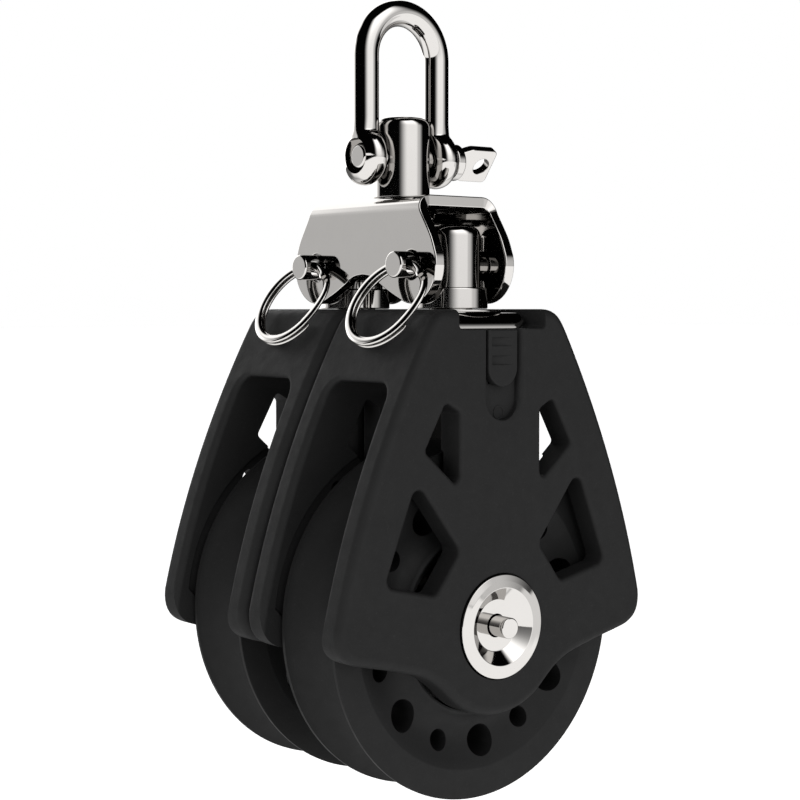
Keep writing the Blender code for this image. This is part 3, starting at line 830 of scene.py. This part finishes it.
def make_ring(sign):
    """Split ring: two flat coils of flattened wire, stepping over from one to the other beside its ends."""
    n, m = 230, 24
    start, stop = 0.10, 1.90
    jog_at = math.radians(-84)
    rings = []
    for i in range(n + 1):
        f = start + (stop - start) * i / n
        t = jog_at + 2 * math.pi * f
        x = max(-1.0, min(1.0, (f - 1.0) / 0.1))
        shift = 0.212 * (1.5 * x - 0.5 * x**3)
        taper = 1.0 - 0.25 * max(0.0, 1 - min(i, n - i) / 3.0) ** 2
        ring = []
        for k in range(m):
            a = 2 * math.pi * k / m
            ca, sa = math.cos(a), math.sin(a)
            radial = 0.40 * taper * math.copysign(abs(ca) ** 0.92, ca)
            axial = 0.192 * taper * math.copysign(abs(sa) ** 0.92, sa) + shift
            rr = RING_R + radial
            ring.append((axial, rr * math.sin(t), rr * math.cos(t) - RING_R + 0.08))
        rings.append(ring)
    obj = loft("ring", rings)
    obj.data.transform(ring_frame(sign))
    return obj


# ---------------------------------------------------------------- the head
def make_head_post():
    prof = [(0, 33.75), (1.88, 33.75), (1.88, 35.98), (HEAD_R, 35.98), (HEAD_R, HEAD_TOP), (0, HEAD_TOP)]
    body = lathe("head_post", fillet(prof, {1: 0.15, 3: 0.12, 4: 0.85}, 8), "Z", 128)
    return cut(body, cylinder("hole", PIN_HOLE + 0.02, -6, 6, "X", 56, (0, 0, SHACKLE_Z), OFF_GRID))


def make_head_nut():
    prof = [(1.97, 33.95), (2.9, 33.95), (3.15, 34.2), (3.15, 34.8), (1.97, 34.8)]
    return lathe("nut", fillet(prof, {0: 0.08, 1: 0.08, 2: 0.08, 3: 0.1, 4: 0.08}, 3), "Z", 96)


def make_key_pin():
    prof = [(0, -4.8), (KEY_R, -4.8), (KEY_R, 5.3), (KEY_COLLAR_R, 5.3), (KEY_COLLAR_R, 6.2), (0, 6.2)]
    shaft = lathe("key", fillet(prof, {1: 0.26, 3: 0.12, 4: 0.2}, 5), "X", 80)
    tab = [(5.9, -1.15), (7.3, -1.68), (10.2, -1.68), (10.2, 1.68), (7.3, 1.68), (5.9, 1.15)]
    tab = rounded([(x, z, 1.0 if 7 < x < 8 else 0.45) for x, z in tab], 0.45, 6)
    tab = prism("tab", tab, -0.42, 0.42, "XZ", 0.13, 0.13, 4)
    tab = cut(tab, drill(0.8, 0.42, "Y", 40, (8.95, 0, 0), 0.1))
    tab.data.transform(Matrix.Rotation(math.radians(TAB_TURN), 4, "X"))
    return move(join(shaft, tab), (0, 0, SHACKLE_Z))


def soft_max(a, b, k):
    h = max(0.0, min(1.0, 0.5 + 0.5 * (a - b) / k))
    return b + (a - b) * h + k * h * (1 - h)


def make_bow():
    """D bow: one smooth skin from the foot of one ear, up the leg, over the crown and down again."""
    ear_r, ear_half, ear_x, m = 2.46, 1.195, 3.955, 56
    leg = []
    for k in range(1, 27):
        z = SHACKLE_Z - ear_r * math.cos(math.pi / 2 * k / 26)
        leg.append(z)
    leg += [SHACKLE_Z + 0.12 * k for k in range(1, 34)]
    leg += [SHACKLE_Z + 4.6, SHACKLE_Z + 6.4, ARCH_Z]

    def section(z):
        t = (z - SHACKLE_Z) / ear_r
        ay = ear_r * math.sqrt(max(0.0, 1 - t * t))
        ax = ear_half * math.sqrt(max(0.0, 1 - abs(t) ** 3))
        power = 2.5
        centre = ear_x
        if t > 0:
            ay, ax = soft_max(ay, WIRE_R, 0.2), soft_max(ax, WIRE_R, 0.2)
            fade = max(0.0, min(1.0, (z - SHACKLE_Z - 1.2) / 2.2))
            fade = fade * fade * (3 - 2 * fade)
            power += (2 - power) * fade
            centre += (LEG_X - centre) * fade
            if z > SHACKLE_Z + 3.6:
                ax = ay = WIRE_R
        return centre, ax, ay, power

    rings = []

    def put(x0, z0, nx, nz, ax, ay, power):
        ring = []
        for k in range(m):
            a = 2 * math.pi * k / m
            ca, sa = math.cos(a), math.sin(a)
            u = ax * math.copysign(abs(ca) ** (2 / power), ca)
            v = ay * math.copysign(abs(sa) ** (2 / power), sa)
            ring.append((x0 + nx * u, v, z0 + nz * u))
        rings.append(ring)

    for z in leg:
        c, ax, ay, power = section(z)
        put(-c, z, -1, 0, ax, ay, power)
    for k in range(1, 48):
        t = math.pi * (1 - k / 48)
        put(LEG_X * math.cos(t), ARCH_Z + LEG_X * math.sin(t), math.cos(t), math.sin(t), WIRE_R, WIRE_R, 2)
    for z in reversed(leg):
        c, ax, ay, power = section(z)
        put(c, z, 1, 0, ax, ay, power)
    body = loft("bow", rings)
    way = cylinder("way", PIN_HOLE, -8, 8, "X", 56, (0, 0, SHACKLE_Z), OFF_GRID)
    prof = [(0, -4.4), (1.5, -4.4), (1.5, -5.03), (1.6, -5.2), (1.6, -8), (0, -8)]
    recess = lathe("recess", prof, "X", 56, OFF_GRID)
    return cut(body, way, move(recess, (0, 0, SHACKLE_Z)))


# ---------------------------------------------------------------- stage and light
def add_stage(low):
    """Plain pale floor. Mirrors and matt surfaces take their light from the studio round it."""
    size, z = 6.0, low.z - 0.03
    verts = [(-size, -size, z), (size, -size, z), (size, size, z), (-size, size, z)]
    mesh = bpy.data.meshes.new("floor")
    mesh.from_pydata(verts, [], [(0, 1, 2, 3)])
    floor = bpy.data.objects.new("floor", mesh)
    bpy.context.scene.collection.objects.link(floor)
    mat, g, shader, place = new_material("studio_floor")
    shade = g.ramp(noise(g, place, 6.0, 2.0), 0.3, 0.7, 0.83, 0.85)
    colour = g.add("ShaderNodeCombineColor", {0: shade, 1: shade, 2: shade}).outputs[0]
    g.put(shader.inputs["Base Color"], colour)
    shader.inputs["Roughness"].default_value = 0.9
    shader.inputs["Specular IOR Level"].default_value = 0.0
    shader.inputs["Emission Color"].default_value = (1, 1, 1, 1)
    shader.inputs["Emission Strength"].default_value = 0.8
    mesh.materials.append(mat)
    floor.visible_glossy = floor.visible_diffuse = floor.visible_shadow = False


def add_world():
    """Studio round the object: tall key panel, dim side panel, bright far left, pale floor below."""
    world = bpy.data.worlds.new("studio")
    bpy.context.scene.world = world
    world.use_nodes = True
    g = Graph(world.node_tree)
    back = world.node_tree.nodes["Background"]
    way = g.add("ShaderNodeTexCoord").outputs["Generated"]
    yaw = math.radians(VIEW_YAW)

    def dot(vector):
        node = g.add("ShaderNodeVectorMath", {0: way, 1: vector}, operation="DOT_PRODUCT")
        return node.outputs["Value"]

    def times(*values):
        total = values[0]
        for value in values[1:]:
            total = g.math("MULTIPLY", total, value)
        return total

    towards = dot((-math.sin(yaw), -math.cos(yaw), 0.0))
    right = dot((math.cos(yaw), -math.sin(yaw), 0.0))
    up = g.math("MULTIPLY", g.math("ARCSINE", dot((0.0, 0.0, 1.0))), 57.2958)
    turn = g.math("MULTIPLY", g.math("ARCTAN2", right, towards), 57.2958)
    around = g.math("ABSOLUTE", turn)

    def rise(value, low, high, to_low=0.0, to_high=1.0, smooth=True):
        return g.ramp(value, low, high, to_low, to_high, smooth)

    def fall(value, low, high, smooth=True):
        return g.ramp(value, low, high, 1.0, 0.0, smooth)

    skyline = -2.0, -0.4        # degrees over which the floor gives way to the panels
    above = rise(up, *skyline)
    brighter = g.math("ADD", rise(up, -1, 7, 0.86, 1.04, False), rise(up, 8, 48, 0.0, 0.5))
    key = times(rise(turn, -11, 28), fall(turn, 62, 88), above, fall(up, 57, 64), brighter)
    side_panel = times(rise(turn, 60, 66), fall(turn, 76, 98), above, fall(up, 8, 33), 0.62)
    far_left = g.math(
        "ADD",
        times(fall(turn, -102, -96), fall(up, 20, 30), rise(up, 2, 14, 0.53, 0.68)),
        times(fall(turn, -122, -108, False), fall(up, 38, 46), 1.3),
    )
    far_edge = times(rise(turn, 172, 177), fall(up, 38, 46), 1.35)
    far = g.math("MULTIPLY", g.math("MAXIMUM", far_left, far_edge), above)
    near_floor = times(
        fall(around, 105, 125),
        g.math("SUBTRACT", 0.93, times(rise(turn, 84, 88), rise(up, -17, -13), 0.28)),
    )
    far_floor = times(rise(around, 105, 125), fall(up, -50, -15), 0.8)
    floor = times(fall(up, *skyline), g.math("ADD", g.math("MAXIMUM", near_floor, far_floor), 0.12))
    total = 0.001
    for value in (key, side_panel, far, floor):
        total = g.math("MAXIMUM", total, value)
    path = g.add("ShaderNodeLightPath")
    eye = path.outputs["Is Camera Ray"]
    # Light lost between mirrors that face each other, as inside the bracket.
    total = g.math("MULTIPLY", total, fall(path.outputs["Glossy Depth"], 1.0, 3.2, False))
    lit = g.add("ShaderNodeCombineColor", {0: total, 1: total, 2: total}).outputs[0]
    seen = g.add(
        "ShaderNodeMix", {"Factor": eye, 6: lit, 7: (1.0, 1.0, 1.0, 1)}, data_type="RGBA"
    ).outputs[2]
    g.put(back.inputs["Color"], seen)
    back.inputs["Strength"].default_value = 1.0


def add_light(name, place, target, size, power):
    """Soft fill that lights matt surfaces and stays out of the mirrors."""
    data = bpy.data.lights.new(name, "AREA")
    data.size, data.energy = size, power
    obj = bpy.data.objects.new(name, data)
    bpy.context.scene.collection.objects.link(obj)
    obj.location = place
    obj.rotation_mode = "QUATERNION"
    obj.rotation_quaternion = (Vector(target) - Vector(place)).to_track_quat("-Z", "Y")
    obj.visible_glossy = False
    obj.visible_camera = False


# ---------------------------------------------------------------- build
add_camera()

head = [
    ("shackle_bow", "shackle", make_bow, 40),
    ("shackle_pin", "key_pin", make_key_pin, 32),
    ("head_post", "swivel_post", make_head_post, 32),
    ("head_nut", "swivel_post", make_head_nut, 32),
    ("head_bracket", "bracket", make_bracket, 35),
]
for node, body, make, angle in head:
    piece = make()
    smooth(piece, angle)
    finish_piece(piece, node, body, STEEL, HEAD_PLACE)

washer = fillet([(1.95, 26.06), (4.3, 26.06), (4.3, 26.26), (1.95, 26.26)], {1: 0.06, 2: 0.06}, 3)
shared = [
    ("case", "block", make_case, CASE, 32),
    ("strap", "block", make_strap, STEEL, 35),
    ("post", "block", make_post, STEEL, 32),
    ("post_washer", "block", lambda: lathe("washer", washer, "Z", 112), STEEL, 32),
    ("axle", "block", lambda: make_tube(RIVET_R + 0.12, AXLE_R, 5.45), STEEL, 32),
    ("axle_rivet", "block", make_rivet, STEEL, 32),
    ("inner_cap", "block", lambda: make_cap(False), STEEL, 32),
    ("inner_race", "block", lambda: make_tube(AXLE_R + 0.08, RACE_R, 3.7), STEEL, 32),
    ("lock_slider", "slider", make_slider, SLIDE, 32),
    ("sheave", "wheel", make_sheave, WHEEL, 32),
    ("ball_cage", "balls", make_cage, CAGE, 32),
]
for node, body, make, mat, angle in shared:
    first = make()
    smooth(first, angle)
    second = first.copy()
    second.data = first.data.copy()
    bpy.context.scene.collection.objects.link(second)
    for which, piece in (("front", first), ("rear", second)):
        finish_piece(piece, which + "_" + node, which + "_" + body, mat, BLOCK_PLACE[which])

for which, sign in (("front", -1), ("rear", 1)):
    cap = make_cap(True)
    cap.data.transform(Matrix.Rotation(math.pi, 4, "Z"))
    smooth(cap, 32)
    finish_piece(cap, which + "_outer_cap", which + "_block", STEEL, BLOCK_PLACE[which])
    pin = make_clevis(sign)
    smooth(pin, 32)
    finish_piece(pin, which + "_clevis_pin", which + "_block", STEEL, HEAD_PLACE)
    ring = make_ring(sign)
    smooth(ring, 45)
    finish_piece(ring, which + "_split_ring", which + "_ring", STEEL, HEAD_PLACE)
    for k in range(BALLS):
        ball = make_ball(k)
        smooth(ball, 60)
        finish_piece(ball, f"{which}_ball_{k + 1:02d}", which + "_balls", BALL, BLOCK_PLACE[which])

add_world()
add_stage(cad_low)
add_light("fill_left", (-0.42, -0.10, 0.12), (0, 0, -0.04), 0.4, 1.2)
add_light("fill_front", (0.05, -0.45, 0.15), (0, 0, -0.04), 0.4, 0.3)
